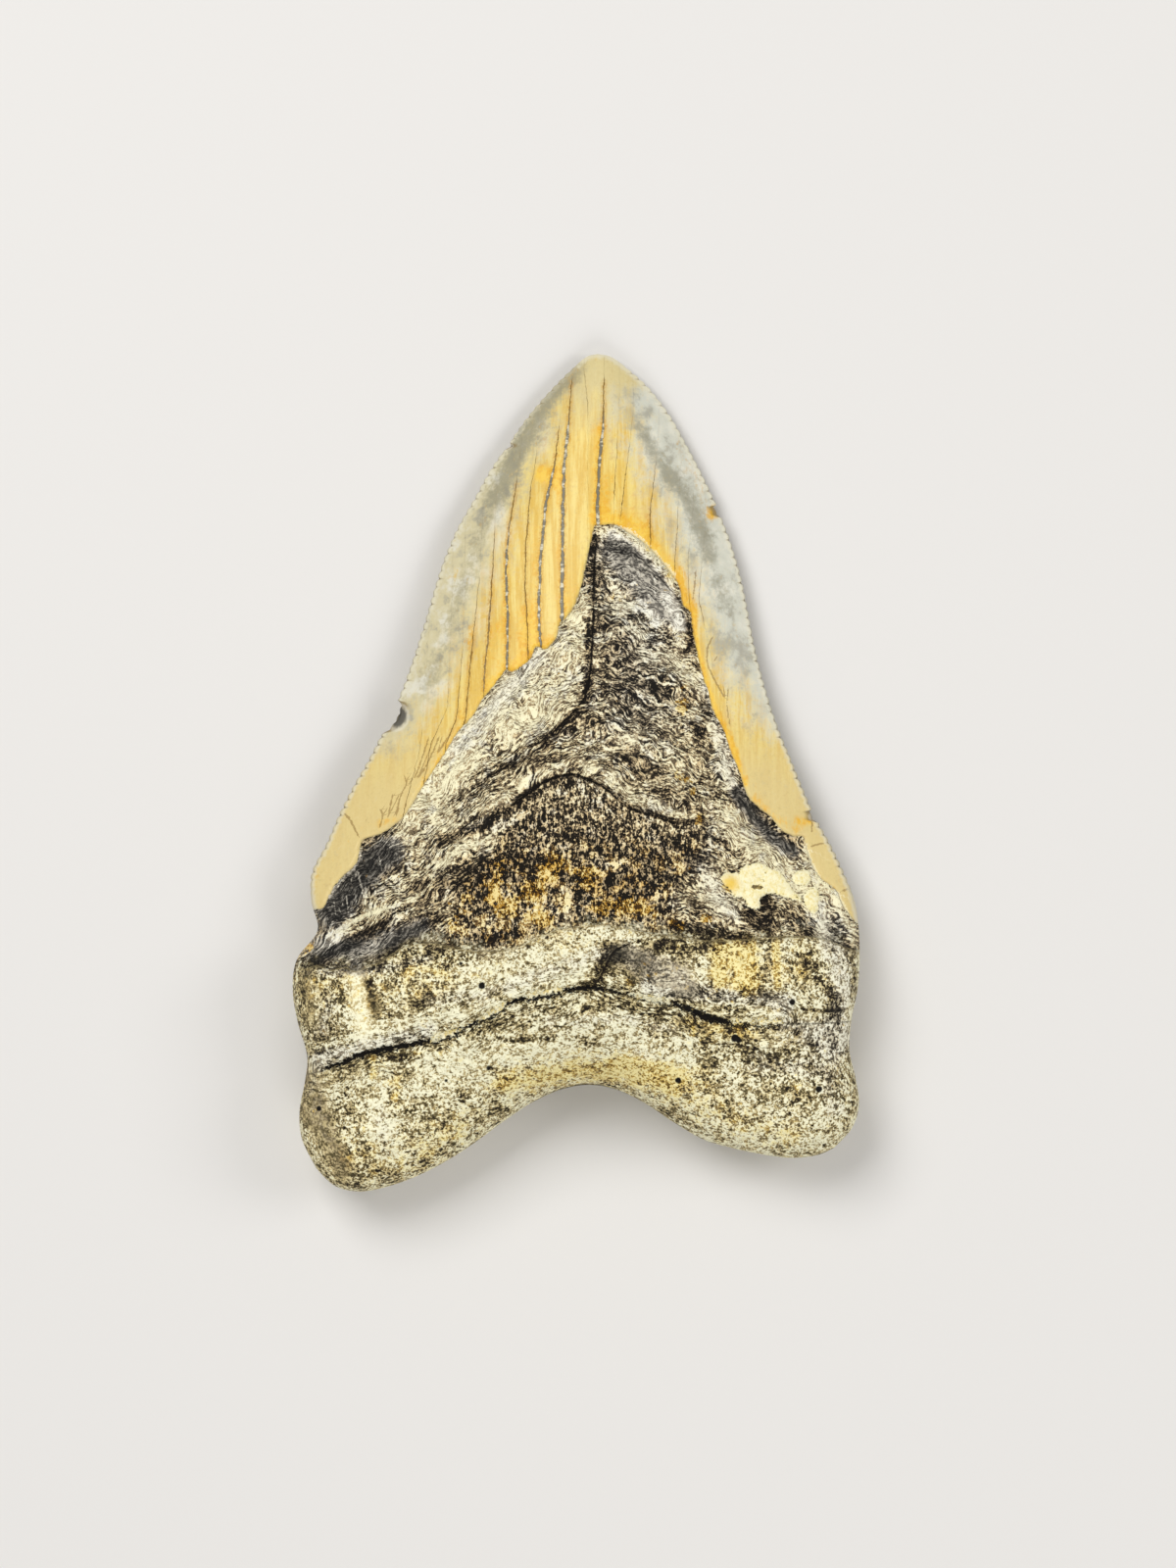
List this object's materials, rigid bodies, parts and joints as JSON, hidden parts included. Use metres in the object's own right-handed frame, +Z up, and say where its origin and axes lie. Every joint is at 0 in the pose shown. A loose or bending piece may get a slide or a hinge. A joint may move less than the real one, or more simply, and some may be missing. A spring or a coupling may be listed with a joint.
{
  "type": "fossil shark tooth",
  "caption": "Large triangular fossil shark tooth with a finely serrated, partly flaked enamel crown and a thick arched two-lobed root, lying on its flatter face.",
  "frame": {"origin": "middle of the bounding box at the level of the surface the tooth lies on", "axes": "+Y from the root to the tip of the crown, +X to the right, +Z up out of the flaked tongue-side face"},
  "size_m": [0.0828, 0.1226, 0.0234],
  "materials": {
    "fossil": "satin enamel over matt mineralised core and root"
  },
  "bodies": {
    "root": {"tooth": "fossil"}
  },
  "joints": []
}
